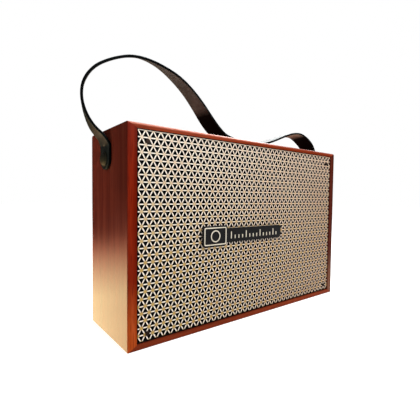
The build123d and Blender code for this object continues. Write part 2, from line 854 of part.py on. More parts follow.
def buttons():
    """Two push buttons, each over its own tact switch on the board."""
    switches = []
    tact_end = board_back + tact_height + tact_button_height
    for name, (x, z) in (("power_button", power_place), ("mode_button", mode_place)):
        flange_y = (cover_y - panel_gap - button_sheet, cover_y - panel_gap)
        button = bar_y(x, z, button_radius, flange_y[0], control_y + button_proud)
        button = fillet(button.edges().sort_by(Axis.Y)[-1], small_edge)
        button += bar_y(x, z, button_radius + button_flange, *flange_y)
        button += bar_y(x, z, button_stem_radius, tact_end + button_travel + cap_gap, flange_y[0])
        save(name, button)
        tact_y = (board_back, board_back + tact_height)
        tact = block(around(x, tact_size), tact_y, around(z, tact_size))
        switches.append(tact + bar_y(x, z, button_stem_radius, tact_y[1], tact_end))
    save("tact_switches", group(switches))


def sockets_and_light():
    mouth = control_y - socket_setback
    x, z = usb_place
    shell = slab_y(SlotOverall(usb_width, usb_height), x, z, board_back, mouth)
    hollow = SlotOverall(usb_width - 2 * usb_shell, usb_height - 2 * usb_shell)
    shell -= slab_y(hollow, x, z, mouth - usb_depth, mouth + over)
    tongue_y = (mouth - usb_depth, mouth - tongue_setback)
    shell += block(around(x, usb_tongue_width), tongue_y, around(z, usb_tongue))
    save("usb_socket", shell)
    x, z = aux_place
    case_y = (board_back, board_back + pot_depth)
    case = block(around(x, aux_case), case_y, around(z, aux_case))
    case += bar_y(x, z, aux_barrel_radius, case_y[1], mouth)
    save("aux_socket", case - bar_y(x, z, aux_bore_radius, mouth - aux_depth, mouth + over))
    x, z = light_place
    light = bar_y(x, z, light_radius, board_back, control_y + light_proud)
    save("status_light", fillet(light.edges().sort_by(Axis.Y)[-1], small_edge))


def circuit_board():
    board_z = around(control_z, board_height)
    board = block((board_left, board_right), (board_y, board_back), board_z)
    posts = []
    for x, z in post_places():
        board -= bar_y(x, z, small_screw[2] + through_gap, board_y - over, board_back + over)
        post = bar_y(x, z, post_radius, board_back, cover_y)
        pilot_end = board_y + small_screw[3] + hole_spare
        posts.append(post - bar_y(x, z, small_screw[2] + screw_gap, board_back, pilot_end))
    save("circuit_board", board)
    save("board_posts", group(posts))
    modules(board_z[1] - post_inset - post_radius - module_inset)


def modules(top):
    """The finned amplifier and the tuner's can, on the board's front below a level."""
    low_x = board_left + module_inset
    x = (low_x, low_x + amplifier_width)
    module_y = (board_y - module_depth, board_y)
    amplifier = block(x, module_y, (top - amplifier_height, top))
    groove_x = (x[0] - over, x[1] + over)
    groove_y = (module_y[0] - over, module_y[0] + fin_depth)
    for index in range(fin_grooves):
        level = top - amplifier_height * (index + 1) / (fin_grooves + 1)
        amplifier -= block(groove_x, groove_y, around(level, fin_groove))
    save("amplifier_module", amplifier)
    high_x = board_right - post_inset - post_radius - module_inset
    tuner_y = (board_y - tuner_depth, board_y)
    tuner = block((high_x - tuner_width, high_x), tuner_y, (top - tuner_height, top))
    save("tuner_module", fillet(tuner.edges().group_by(Axis.Y)[0], module_edge))


def small_screws():
    """The identical screws of the board, the battery clamp and the antenna clip."""
    screws = [to_front(x, board_y, z) * screw(small_screw) for x, z in post_places()]
    seat = floor_z + clamp_sheet
    screws += [Pos(x, y, seat) * screw(small_screw) for x, y in clamp_screw_places()]
    seat = cover_back + clip_sheet
    screws += [to_rear(x, seat, z) * screw(small_screw) for x, z in clip_screw_places()]
    save("small_screws", group(screws))


def battery():
    """Two cells side by side in one sleeve, held down by a bridge clamp."""
    height = 2 * cell_radius
    low_x, high_x = around(battery_x, battery_length)
    pack = block((low_x, high_x), around(battery_y, height), (floor_z, floor_z + height))
    for y in around(battery_y, height):
        pack += bar_x(y, floor_z + cell_radius, cell_radius, low_x, high_x)
    save("battery_pack", pack.solid())
    crown = floor_z + height + panel_gap
    x = around(battery_x, clamp_width)
    foot_z = (floor_z, floor_z + clamp_sheet)
    clamp = block(x, around(battery_y, 2 * clamp_outside), (floor_z, crown + clamp_sheet))
    clamp += block(x, around(battery_y, 2 * (clamp_outside + clamp_foot)), foot_z)
    inside = around(battery_y, 2 * (clamp_outside - clamp_sheet))
    clamp -= block((x[0] - over, x[1] + over), inside, (floor_z - over, crown))
    for place_x, y in clamp_screw_places():
        hole = small_screw[2] + through_gap
        clamp -= bar_z(place_x, y, hole, floor_z - over, foot_z[1] + over)
    save("battery_clamp", clamp)


def ferrite_antenna():
    """Ferrite rod in the two rings of a holder under the top board."""
    rod_z = ceiling_z - holder_bar - holder_drop - ferrite_radius
    save("ferrite_rod", bar_x(0, rod_z, ferrite_radius, *around(ferrite_x, ferrite_length)))
    half = ferrite_radius + holder_wall
    holder_x = around(ferrite_x, holder_span + holder_ring)
    holder = block(holder_x, around(0, 2 * half), (ceiling_z - holder_bar, ceiling_z))
    for side in (-1, 1):
        x = around(ferrite_x + side * holder_span / 2, holder_ring)
        ring = block(x, around(0, 2 * half), (rod_z - half, ceiling_z - holder_bar))
        holder += ring - bar_x(0, rod_z, ferrite_radius + running_gap, x[0] - over, x[1] + over)
    save("rod_holder", holder)


def pull_up_antenna():
    """Fixed housing in a clip behind the cover, a sliding tube and a sliding rod."""
    tube_radius = housing_radius - antenna_wall - running_gap
    rod_radius = tube_radius - antenna_wall - running_gap - antenna_step
    rod_top = cabinet_height + tip_gap
    housing = bar_z(antenna_x, antenna_y, housing_radius, housing_foot_z, cabinet_height)
    bore = tube_radius + running_gap
    housing -= bar_z(antenna_x, antenna_y, bore, housing_foot_z - over, cabinet_height + over)
    foot = housing_foot_z + antenna_stop
    tube = bar_z(antenna_x, antenna_y, tube_radius, foot, cabinet_height)
    tube -= bar_z(antenna_x, antenna_y, rod_radius + running_gap, foot - over, cabinet_height + over)
    rod = bar_z(antenna_x, antenna_y, rod_radius, foot + rod_start, rod_top)
    tip = bar_z(antenna_x, antenna_y, tip_radius, rod_top, rod_top + tip_height)
    save("antenna_housing", housing)
    save("antenna_tube", tube)
    save("antenna_rod", rod)
    save("antenna_tip", fillet(tip.edges().sort_by(Axis.Z)[-1], tip_edge))
    reach = housing_radius + clip_wall
    z = around(clip_z, clip_height)
    clip = block(around(antenna_x, 2 * reach), (cover_back, antenna_y + reach), z)
    clip += block(around(antenna_x, 2 * (reach + clip_ear)), (cover_back, cover_back + clip_sheet), z)
    clip -= bar_z(antenna_x, antenna_y, housing_radius + running_gap, z[0] - over, z[1] + over)
    hole = small_screw[2] + through_gap
    for x, place_z in clip_screw_places():
        clip -= bar_y(x, place_z, hole, cover_back - over, cover_back + 2 * clip_sheet)
    save("antenna_clip", clip)


def lead(name, points):
    """A lead as a tube along straight runs joined by tangent arcs."""
    corners = [Vector(*point) for point in points]
    radii = []
    for before, corner, after in zip(corners, corners[1:], corners[2:]):
        shorter = min((corner - before).length, (after - corner).length)
        turn = math.radians((corner - before).get_angle(after - corner))
        radii.append(lead_bend * shorter / math.tan(turn / 2))
    route = FilletPolyline(*corners, radius=radii)
    start = Plane(origin=corners[0], z_dir=corners[1] - corners[0])
    save(name, sweep(start * Circle(lead_radius), path=route))


def leads():
    """Speaker lead to the amplifier module and battery lead to the board."""
    frame_back = driver_y + basket_depth
    tag_z = driver_z + basket_radius - basket_wall
    module_x = board_left + module_inset
    module_y = board_y - module_depth / 2
    lead("speaker_lead", [
        (driver_x, frame_back, tag_z),
        (driver_x, module_y, tag_z),
        (driver_x + lead_run, module_y, tag_z + lead_jog),
        (module_x, module_y, tag_z + lead_jog),
    ])
    pack_top = floor_z + 2 * cell_radius
    lead_y = battery_y + lead_jog
    out_x = battery_x + battery_length / 2 - lead_inset
    in_x = out_x - lead_inset
    turn_z = pack_top + lead_rise
    in_z = control_z - board_height / 2 + lead_inset
    lead("battery_lead", [
        (out_x, lead_y, pack_top),
        (out_x, lead_y, turn_z),
        (out_x - lead_jog, board_y - lead_rise, (turn_z + in_z) / 2),
        (in_x, board_y - lead_rise, in_z),
        (in_x, board_y, in_z),
    ])


cabinet()
blocks()
front()
badge()
driver()
strap()
rivets()
rear_cover()
rotary_controls()
band_switch()
buttons()
sockets_and_light()
circuit_board()
small_screws()
battery()
ferrite_antenna()
pull_up_antenna()
leads()
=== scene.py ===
import json
import math

import bmesh
import bpy
import numpy as np
from mathutils import Matrix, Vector
from mathutils.geometry import delaunay_2d_cdt


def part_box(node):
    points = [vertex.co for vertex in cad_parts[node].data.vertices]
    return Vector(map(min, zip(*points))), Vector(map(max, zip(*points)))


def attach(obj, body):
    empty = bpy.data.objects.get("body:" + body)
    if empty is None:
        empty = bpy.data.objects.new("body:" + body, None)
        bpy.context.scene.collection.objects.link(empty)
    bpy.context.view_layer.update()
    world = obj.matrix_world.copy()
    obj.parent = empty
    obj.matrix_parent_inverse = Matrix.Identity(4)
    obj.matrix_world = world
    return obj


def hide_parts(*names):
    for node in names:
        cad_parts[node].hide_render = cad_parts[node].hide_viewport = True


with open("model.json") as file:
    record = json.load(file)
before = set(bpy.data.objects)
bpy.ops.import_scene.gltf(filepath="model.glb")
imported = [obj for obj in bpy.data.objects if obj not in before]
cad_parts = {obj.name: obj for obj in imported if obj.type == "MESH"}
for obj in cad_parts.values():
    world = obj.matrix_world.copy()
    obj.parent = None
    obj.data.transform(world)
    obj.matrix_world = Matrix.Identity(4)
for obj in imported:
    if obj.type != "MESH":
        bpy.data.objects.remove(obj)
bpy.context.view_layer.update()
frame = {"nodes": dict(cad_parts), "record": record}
mm = 0.001
# in the dictionaries a pair such as darkerZ says where along that axis a change starts and is full


def makeObject(name, points, faces, material, smooth=True, uv=None):
    # points: rows x, y, z in metres; faces: rows of corner numbers; uv: one row for each point
    mesh = bpy.data.meshes.new(name)
    mesh.from_pydata(np.asarray(points, float).tolist(), [], [list(map(int, f)) for f in faces])
    mesh.update()
    if smooth:
        mesh.shade_smooth()
    if uv is not None:
        layer = mesh.uv_layers.new(name="UVMap")
        corner = np.empty(len(mesh.loops), np.int32)
        mesh.loops.foreach_get("vertex_index", corner)
        layer.data.foreach_set("uv", np.asarray(uv, np.float32)[corner].ravel())
    mesh.materials.append(material)
    piece = bpy.data.objects.new(name, mesh)
    bpy.context.scene.collection.objects.link(piece)
    return piece


def gridFaces(rows, columns, closed=True):
    # quad (r, c), (r+1, c), (r+1, c+1), (r, c+1); closed joins the last column to the first
    across = columns if closed else columns - 1
    r, c = np.meshgrid(np.arange(rows - 1), np.arange(across), indexing="ij")
    nextC = (c + 1) % columns
    here, below = r * columns, (r + 1) * columns
    return np.stack([here + c, below + c, below + nextC, here + nextC], -1).reshape(-1, 4)


def turnOutward(piece):
    # every face of a closed shell is made to point away from its inside
    shell = bmesh.new()
    shell.from_mesh(piece.data)
    bmesh.ops.recalc_face_normals(shell, faces=shell.faces)
    shell.to_mesh(piece.data)
    shell.free()


def newMaterial(name):
    material = bpy.data.materials.new(name)
    material.use_nodes = True
    tree = material.node_tree
    shader = next(n for n in tree.nodes if n.type == "BSDF_PRINCIPLED")
    return material, tree, shader


def node(tree, kind, inputs=None, **settings):
    made = tree.nodes.new("ShaderNode" + kind)
    for key, value in settings.items():
        setattr(made, key, value)
    for key, value in (inputs or {}).items():
        if isinstance(value, bpy.types.NodeSocket):
            tree.links.new(value, made.inputs[key])
        else:
            made.inputs[key].default_value = value
    return made


def placed(tree, stretch=(1, 1, 1), turn=(0, 0, 0)):
    # the object's own coordinates, stretched and turned
    coords = node(tree, "TexCoord").outputs["Object"]
    settings = {"Vector": coords, "Scale": stretch, "Rotation": turn}
    return node(tree, "Mapping", settings).outputs[0]


def axisOf(tree, vector, axis):
    return node(tree, "SeparateXYZ", {0: vector}).outputs["XYZ".index(axis)]


def noise(tree, vector, scale, detail=4.0, rough=0.55):
    settings = {"Vector": vector, "Scale": scale, "Detail": detail, "Roughness": rough}
    return node(tree, "TexNoise", settings).outputs[0]


def calc(tree, operation, a, b=0.0):
    return node(tree, "Math", {0: a, 1: b}, operation=operation).outputs[0]


def times(tree, a, b):
    return calc(tree, "MULTIPLY", a, b)


def blend(tree, a, b, share):
    # a by one less share, plus b by share
    return calc(tree, "ADD", times(tree, a, 1.0 - share), times(tree, b, share))


def between(tree, value, start, full, first=0.0, last=1.0):
    # first at start, last at full, straight in between and held beyond
    inputs = {0: value, 1: start, 2: full, 3: first, 4: last}
    return node(tree, "MapRange", inputs, clamp=True).outputs[0]


def ramp(tree, factor, *stops):
    # stops: place and colour, in order
    made = node(tree, "ValToRGB", {0: factor})
    elements = made.color_ramp.elements
    while len(elements) < len(stops):
        elements.new(0.5)
    for element, (place, colour) in zip(elements, stops):
        element.position = place
        element.color = (*colour, 1)
    return made.outputs[0]


def mixed(tree, factor, a, b, way="MIX"):
    made = node(tree, "Mix", data_type="RGBA", blend_type=way)
    for key, value in ((0, factor), (6, a), (7, b)):
        if isinstance(value, bpy.types.NodeSocket):
            tree.links.new(value, made.inputs[key])
        else:
            made.inputs[key].default_value = value if key == 0 else (*value, 1)
    return made.outputs[2]


def setColour(tree, shader, colour):
    tree.links.new(colour, shader.inputs["Base Color"])


def setRoughness(tree, shader, factor, low, high):
    # the factor's 0 to 1 becomes low to high
    tree.links.new(between(tree, factor, 0.0, 1.0, low, high), shader.inputs["Roughness"])


def setGloss(tree, shader, dull, full, least):
    # full gloss where dull is 0, least gloss where it is 1
    tree.links.new(between(tree, dull, 0.0, 1.0, full, least), shader.inputs["Specular IOR Level"])


def bump(tree, shader, height, depth):
    # depth: metres between height 0 and height 1
    made = node(tree, "Bump", {"Strength": 1.0, "Distance": depth, "Height": height})
    tree.links.new(made.outputs[0], shader.inputs["Normal"])


def setShader(shader, **values):
    for key, value in values.items():
        shader.inputs[key.replace("_", " ")].default_value = value


# veneer with a stain: each board has its own strip of wood, and its front edge has a stain of its
# own; the right board's colours are a painted shade, darker than the left's
veneer = {
    "streaks": 170.0,
    "figure": 26.0,
    "pores": 1500.0,
    "drawnOut": 0.045,
    "streakShare": 0.4,
    "rampPlaces": (0.36, 0.5, 0.66),
    "poreDeep": (0.46, 0.34),  # noise where a pore starts and where it is deepest
    "poreDark": 0.5,
    "poreShare": 0.3,  # of the relief
    "relief": 0.04 * mm,
    "edgeY": (-35.7 * mm, -37.0 * mm),
    "dullFacing": (-0.80, -0.97),  # the normal's y, -1 on a face that looks forward
    "roughness": (0.18, 0.30),
    "gloss": (0.2, 0.03),
    # painted light: the side boards' front edge is made paler towards the foot
    "paleEdge": (2.3, 6.0, 7.5),  # times the edge's colour
    "paleEdgeZ": (50 * mm, 14 * mm),
    # painted shade: the side boards' face is made darker above, near the front
    "darker": (0.62, 0.60, 0.60),  # times the face's colour
    "darkerZ": (75 * mm, 115 * mm),
    "darkerY": (2 * mm, -26 * mm),
    # painted highlight on the top board's rounded front edge, fading to the right
    "edgeHighlightUp": (0.10, 0.60),  # the normal's z
    "edgeHighlightForward": (-0.1, -0.3),  # the normal's y
    "edgeHighlightX": (-30 * mm, 30 * mm),
    "edgeHighlightShare": (0.8, 0.1),
    "boards": {
        "cabinet_left": {
            "along": "z",
            "face": ((0.12, 0.016, 0.009), (0.25, 0.036, 0.018), (0.36, 0.068, 0.032)),
            "edge": ((0.075, 0.003, 0.0005), (0.16, 0.009, 0.001), (0.25, 0.019, 0.004)),
        },
        "cabinet_right": {
            "along": "z",
            # painted shade: this board is darker than the left one, its front edge most, as the light
            # falls off to the right
            "face": ((0.09, 0.012, 0.006), (0.19, 0.027, 0.012), (0.32, 0.056, 0.023)),
            "edge": ((0.035, 0.004, 0.002), (0.075, 0.011, 0.005), (0.13, 0.022, 0.010)),
        },
        "cabinet_top": {
            "along": "x",
            "face": ((0.11, 0.014, 0.007), (0.22, 0.032, 0.014), (0.35, 0.064, 0.026)),
            "edge": ((0.12, 0.014, 0.003), (0.22, 0.027, 0.006), (0.36, 0.055, 0.014)),
            "edgeHighlight": (0.50, 0.15, 0.085),
        },
        "cabinet_bottom": {
            "along": "x",
            "face": ((0.10, 0.013, 0.007), (0.20, 0.029, 0.013), (0.33, 0.060, 0.025)),
            "edge": ((0.11, 0.016, 0.005), (0.20, 0.030, 0.010), (0.30, 0.052, 0.018)),
        },
    },
}


def veneerMaterial(name, board):
    # grain: noise drawn out along the board, in broad figure, streaks and pores
    material, tree, shader = newMaterial(name)
    stretch = [veneer["drawnOut"] if axis == board["along"] else 1.0 for axis in "xyz"]
    grain = placed(tree, stretch)
    figure = noise(tree, grain, veneer["figure"], 3.0, 0.5)
    streaks = noise(tree, grain, veneer["streaks"], 6.0, 0.62)
    pores = noise(tree, grain, veneer["pores"], 2.0, 0.5)
    both = blend(tree, figure, streaks, veneer["streakShare"])
    face = ramp(tree, both, *zip(veneer["rampPlaces"], board["face"]))
    edge = ramp(tree, both, *zip(veneer["rampPlaces"], board["edge"]))
    here, normal = placed(tree), node(tree, "TexCoord").outputs["Normal"]
    x, y, z = (axisOf(tree, here, axis) for axis in "XYZ")
    if board["along"] == "z":
        # the side boards' front edge is painted paler at the foot, a painted light, and their face is
        # painted darker above near the front, a painted shade
        low = between(tree, z, *veneer["paleEdgeZ"])
        edge = mixed(tree, low, edge, veneer["paleEdge"], "MULTIPLY")
        near = times(tree, between(tree, z, *veneer["darkerZ"]), between(tree, y, *veneer["darkerY"]))
        face = mixed(tree, near, face, veneer["darker"], "MULTIPLY")
    atFront = between(tree, y, *veneer["edgeY"])
    colour = mixed(tree, atFront, face, edge)
    dark = mixed(tree, atFront, board["face"][0], board["edge"][0])
    deep = times(tree, between(tree, pores, *veneer["poreDeep"]), veneer["poreDark"])
    colour = mixed(tree, deep, colour, dark)
    forward, upward = axisOf(tree, normal, "Y"), axisOf(tree, normal, "Z")
    dull = between(tree, forward, *veneer["dullFacing"])
    if "edgeHighlight" in board:
        # the rounded front edge has a painted highlight, a paler colour, less so to the right
        rising = between(tree, upward, *veneer["edgeHighlightUp"])
        arc = times(tree, rising, between(tree, forward, *veneer["edgeHighlightForward"]))
        share = between(tree, x, *veneer["edgeHighlightX"], *veneer["edgeHighlightShare"])
        arc = times(tree, arc, share)
        colour = mixed(tree, arc, colour, board["edgeHighlight"])
        dull = calc(tree, "MAXIMUM", dull, arc)
    setColour(tree, shader, colour)
    setRoughness(tree, shader, streaks, *veneer["roughness"])
    # the cut front edges and the rounded edge with its painted highlight are dull, the faces have the
    # full gloss
    setGloss(tree, shader, dull, *veneer["gloss"])
    bump(tree, shader, blend(tree, streaks, pores, veneer["poreShare"]), veneer["relief"])
    return material


# two colours mixed by noise, with the same noise in roughness and relief; depth in millimetres
finishes = {
    "plain_wood": dict(
        low=(0.42, 0.27, 0.14), high=(0.66, 0.48, 0.29), scale=260, rough=(0.55, 0.75),
        depth=0.08, stretch=(1, 1, 0.06)),
    "fibre_board": dict(
        low=(0.20, 0.13, 0.07), high=(0.36, 0.25, 0.15), scale=900, rough=(0.7, 0.9), depth=0.1),
    "dark_steel": dict(
        low=(0.012, 0.006, 0.004), high=(0.045, 0.024, 0.017), scale=1600, rough=(0.3, 0.5),
        depth=0.01, metal=0.8),
    "black_metal": dict(
        low=(0.012, 0.012, 0.012), high=(0.035, 0.035, 0.035), scale=1400, rough=(0.4, 0.6),
        depth=0.04),
    "plated_steel": dict(
        low=(0.42, 0.42, 0.40), high=(0.66, 0.66, 0.63), scale=900, rough=(0.25, 0.42),
        depth=0.01, metal=1.0),
    "ferrite": dict(
        low=(0.035, 0.035, 0.038), high=(0.075, 0.075, 0.08), scale=2200, rough=(0.55, 0.75),
        depth=0.03),
    "copper_wire": dict(
        low=(0.40, 0.13, 0.05), high=(0.72, 0.30, 0.13), scale=1800, rough=(0.25, 0.4),
        depth=0.04, metal=0.9, stretch=(0.02, 1, 0.02)),
    "cone_paper": dict(
        low=(0.015, 0.014, 0.013), high=(0.05, 0.047, 0.043), scale=1100, rough=(0.75, 0.95),
        depth=0.08),
    "soft_rubber": dict(
        low=(0.012, 0.012, 0.012), high=(0.03, 0.03, 0.03), scale=1500, rough=(0.5, 0.7),
        depth=0.03),
    "black_board": dict(
        low=(0.010, 0.010, 0.010), high=(0.032, 0.031, 0.030), scale=1300, rough=(0.5, 0.75),
        depth=0.12),
    "brushed_plate": dict(
        low=(0.030, 0.030, 0.032), high=(0.085, 0.085, 0.088), scale=1500, rough=(0.28, 0.45),
        depth=0.01, metal=0.9, stretch=(0.02, 1, 1)),
    "black_plastic": dict(
        low=(0.003, 0.003, 0.003), high=(0.009, 0.008, 0.009), scale=2600, rough=(0.30, 0.48),
        depth=0.02, gloss=0.12),
    "switch_case": dict(
        low=(0.05, 0.05, 0.05), high=(0.10, 0.10, 0.10), scale=2200, rough=(0.45, 0.6),
        depth=0.02),
    "socket_plastic": dict(
        low=(0.018, 0.018, 0.018), high=(0.045, 0.045, 0.045), scale=2400, rough=(0.4, 0.6),
        depth=0.02),
    "board_green": dict(
        low=(0.008, 0.06, 0.025), high=(0.02, 0.13, 0.05), scale=700, rough=(0.25, 0.4),
        depth=0.03),
    "brass_posts": dict(
        low=(0.44, 0.28, 0.09), high=(0.72, 0.50, 0.20), scale=1500, rough=(0.22, 0.4),
        depth=0.01, metal=1.0),
    "heat_sink": dict(
        low=(0.02, 0.02, 0.02), high=(0.06, 0.06, 0.06), scale=1600, rough=(0.35, 0.5),
        depth=0.01, metal=0.7),
    "battery_sleeve": dict(
        low=(0.012, 0.05, 0.16), high=(0.03, 0.10, 0.27), scale=500, rough=(0.2, 0.35),
        depth=0.04),
    "chrome_tube": dict(
        low=(0.62, 0.62, 0.62), high=(0.82, 0.82, 0.82), scale=1200, rough=(0.08, 0.2),
        depth=0.004, metal=1.0),
    "lead_jacket": dict(
        low=(0.16, 0.008, 0.006), high=(0.30, 0.02, 0.012), scale=1400, rough=(0.4, 0.55),
        depth=0.02),
    "antique_brass": dict(
        low=(0.010, 0.009, 0.005), high=(0.030, 0.028, 0.016), scale=520, rough=(0.45, 0.65),
        depth=0.02, metal=0.5, gloss=0.2),
    "cream_lines": dict(
        low=(0.66, 0.58, 0.44), high=(0.82, 0.75, 0.62), scale=1500, rough=(0.3, 0.45),
        depth=0.02),
    "light_pipe": dict(
        low=(0.55, 0.62, 0.55), high=(0.72, 0.80, 0.72), scale=1500, rough=(0.12, 0.2),
        depth=0.01),
}


broadGrain = {"scale": 0.08, "share": 0.4}  # beside the fine grain


def grainyMaterial(name, low, high, scale, rough, depth, metal=0.0, stretch=(1, 1, 1), gloss=0.5):
    # six parts fine noise and four parts broad noise
    material, tree, shader = newMaterial(name)
    vector = placed(tree, stretch)
    fine = noise(tree, vector, scale, 5.0, 0.6)
    broad = noise(tree, vector, scale * broadGrain["scale"], 3.0, 0.5)
    both = blend(tree, fine, broad, broadGrain["share"])
    setColour(tree, shader, ramp(tree, both, (0.35, low), (0.65, high)))
    setRoughness(tree, shader, both, *rough)
    setShader(shader, Metallic=metal, Specular_IOR_Level=gloss)
    bump(tree, shader, fine, depth * mm)
    return material


cloth = {"fluff": 0.3, "roughness": (0.85, 1.0), "gloss": 0.05, "relief": 0.1 * mm}


def clothMaterial(name, low, high, pitch):
    # plain weave: the product of two sines at the thread pitch, with fluff
    material, tree, shader = newMaterial(name)
    vector = placed(tree)
    turns = math.tau / pitch
    warp = calc(tree, "SINE", times(tree, axisOf(tree, vector, "X"), turns))
    weft = calc(tree, "SINE", times(tree, axisOf(tree, vector, "Z"), turns))
    weave = between(tree, times(tree, warp, weft), -1.0, 1.0)
    both = blend(tree, weave, noise(tree, vector, 2.0 / pitch, 3.0), cloth["fluff"])
    setColour(tree, shader, ramp(tree, both, (0.1, low), (0.9, high)))
    setRoughness(tree, shader, both, *cloth["roughness"])
    setShader(shader, Specular_IOR_Level=cloth["gloss"])
    bump(tree, shader, both, cloth["relief"])
    return material


slotMaterials = {
    name: grainyMaterial(name + "_finish", **values) for name, values in finishes.items()
}
slotMaterials["black_cloth"] = clothMaterial(
    "black_cloth_finish", (0.001, 0.001, 0.001), (0.005, 0.0045, 0.004), 0.9 * mm)
slotMaterials["spider_cloth"] = clothMaterial(
    "spider_cloth_finish", (0.24, 0.17, 0.07), (0.48, 0.36, 0.17), 0.8 * mm)
print("finishes ready:", len(slotMaterials))


def dress(nodeName, material):
    # one material over the whole node
    mesh = frame["nodes"][nodeName].data
    mesh.materials.clear()
    mesh.materials.append(material)
    mesh.polygons.foreach_set("material_index", np.zeros(len(mesh.polygons), np.int32))


for part in frame["record"]["subparts"]:
    if part["material_slot"] in slotMaterials:
        dress(part["node"], slotMaterials[part["material_slot"]])
for boardName, board in veneer["boards"].items():
    dress(boardName, veneerMaterial(boardName + "_veneer", board))
print("parts dressed")


# grille: a lacquered sheet with a triangular lattice of openings
grille = {
    "pitch": 5.987 * mm,
    "row": 5.187 * mm,
    "firstX": -114.30 * mm,
    "firstZ": 150.10 * mm,
    "bar": 0.83 * mm,
    "corner": 0.15 * mm,
    "sideGap": 0.6 * mm,
    "topGap": 0.5 * mm,
    "sheet": 0.35 * mm,
    "inset": 0.02 * mm,
    "round": 0.09 * mm,
    "cream": (0.97, 0.90, 0.82),
    "tan": (0.50, 0.33, 0.08),
    "crossing": (-0.3, 1.9),  # the lattice wave where the wear starts and is full
    "wornZ": (150 * mm, 60 * mm),
    "wornShare": (0.5, 1.0),
    "blotches": 34.0,
    "warmth": ((1.0, 0.98, 0.92), (1.0, 0.88, 0.80)),
    "warmShare": 0.5,
    # painted shade: the lacquer is made darker and warmer towards the right
    "rightShade": (0.76, 0.64, 0.56),  # times the lacquer's colour
    "rightShadeX": (-120 * mm, 120 * mm),
    "wall": (0.07, 0.03, 0.012),
    "cutY": (0.10 * mm, 0.16 * mm),  # behind the front
    "fine": 2400.0,
    "roughness": (0.24, 0.42),
    "relief": -0.10 * mm,  # the crossings are worn down
    "crossingShare": 0.8,  # of the relief
    "joinedBelow": 1e-7,  # corners nearer than this are one
}


def latticeWave(tree, x, z):
    # the sum of three cosines, 3 where the bars cross and -1.5 in the openings
    across, down = 1.0 / grille["pitch"], 0.5 / grille["row"]
    total = None
    for kx, kz in ((0.0, 2.0 * down), (across, down), (across, -down)):
        phase = calc(tree, "ADD", times(tree, x, math.tau * kx), times(tree, z, math.tau * kz))
        wave = calc(tree, "COSINE", phase)
        total = calc(tree, "ADD", total, wave) if total else wave
    return total


def grilleMaterial():
    # cream lacquer, worn to tan where the bars cross, and more so below
    material, tree, shader = newMaterial("creamLacquer")
    vector = placed(tree)
    x, y, z = (axisOf(tree, vector, axis) for axis in "XYZ")
    latticeX = calc(tree, "SUBTRACT", x, grille["firstX"])
    latticeZ = calc(tree, "SUBTRACT", z, grille["firstZ"])
    crossing = between(tree, latticeWave(tree, latticeX, latticeZ), *grille["crossing"])
    worn = times(tree, crossing, between(tree, z, *grille["wornZ"], *grille["wornShare"]))
    colour = mixed(tree, worn, grille["cream"], grille["tan"])
    blotch = between(tree, noise(tree, vector, grille["blotches"], 3.0), 0.3, 0.7)
    warmth = mixed(tree, blotch, *grille["warmth"])
    lacquer = mixed(tree, grille["warmShare"], colour, warmth, "MULTIPLY")
    # the lacquer is painted darker and warmer from left to right, a painted shade
    rightShade = between(tree, x, *grille["rightShadeX"])
    lacquer = mixed(tree, rightShade, lacquer, grille["rightShade"], "MULTIPLY")
    # inside the openings the cut wall is dark brown
    behind = calc(tree, "SUBTRACT", y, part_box("grille")[0].y)
    cut = between(tree, behind, *grille["cutY"])
    setColour(tree, shader, mixed(tree, cut, lacquer, grille["wall"]))
    fine = noise(tree, vector, grille["fine"], 2.0)
    setRoughness(tree, shader, fine, *grille["roughness"])
    bump(tree, shader, blend(tree, fine, crossing, grille["crossingShare"]), grille["relief"])
    return material


def holeOutlines(low, high):
    # each opening is a lattice triangle drawn in by half a bar, its three corners cut; the lattice
    # starts two steps outside the first opening and ends beyond the far edges
    across = int((high[0] - low[0]) / grille["pitch"]) + 4
    down = int((high[1] - low[1]) / grille["row"]) + 4
    i, j = np.meshgrid(np.arange(-2, across), np.arange(-2, down), indexing="ij")
    x = grille["firstX"] + (i + 0.5 * (j % 2)) * grille["pitch"]
    z = grille["firstZ"] - j * grille["row"]
    crossing = np.stack([x, z], -1)[:, :, None, :]
    half, row = grille["pitch"] / 2, grille["row"]
    below = crossing + np.array([[0, 0], [-half, -row], [half, -row]])
    above = crossing + np.array([[0, 0], [half, row], [-half, row]])
    triangles = np.concatenate([below.reshape(-1, 3, 2), above.reshape(-1, 3, 2)])
    middle = triangles.mean(1, keepdims=True)
    drawnIn = 1 - (grille["bar"] / 2) / (row / 3)
    corners = middle + (triangles - middle) * drawnIn
    edge = np.roll(corners, -1, 1) - corners
    edge /= np.linalg.norm(edge, axis=-1, keepdims=True)
    before = corners - np.roll(edge, 1, 1) * grille["corner"]
    after = corners + edge * grille["corner"]
    outline = np.stack([before, after], 2).reshape(-1, 6, 2)
    inside = (outline.max(1) > low).all(-1) & (outline.min(1) < high).all(-1)
    return outline[inside]


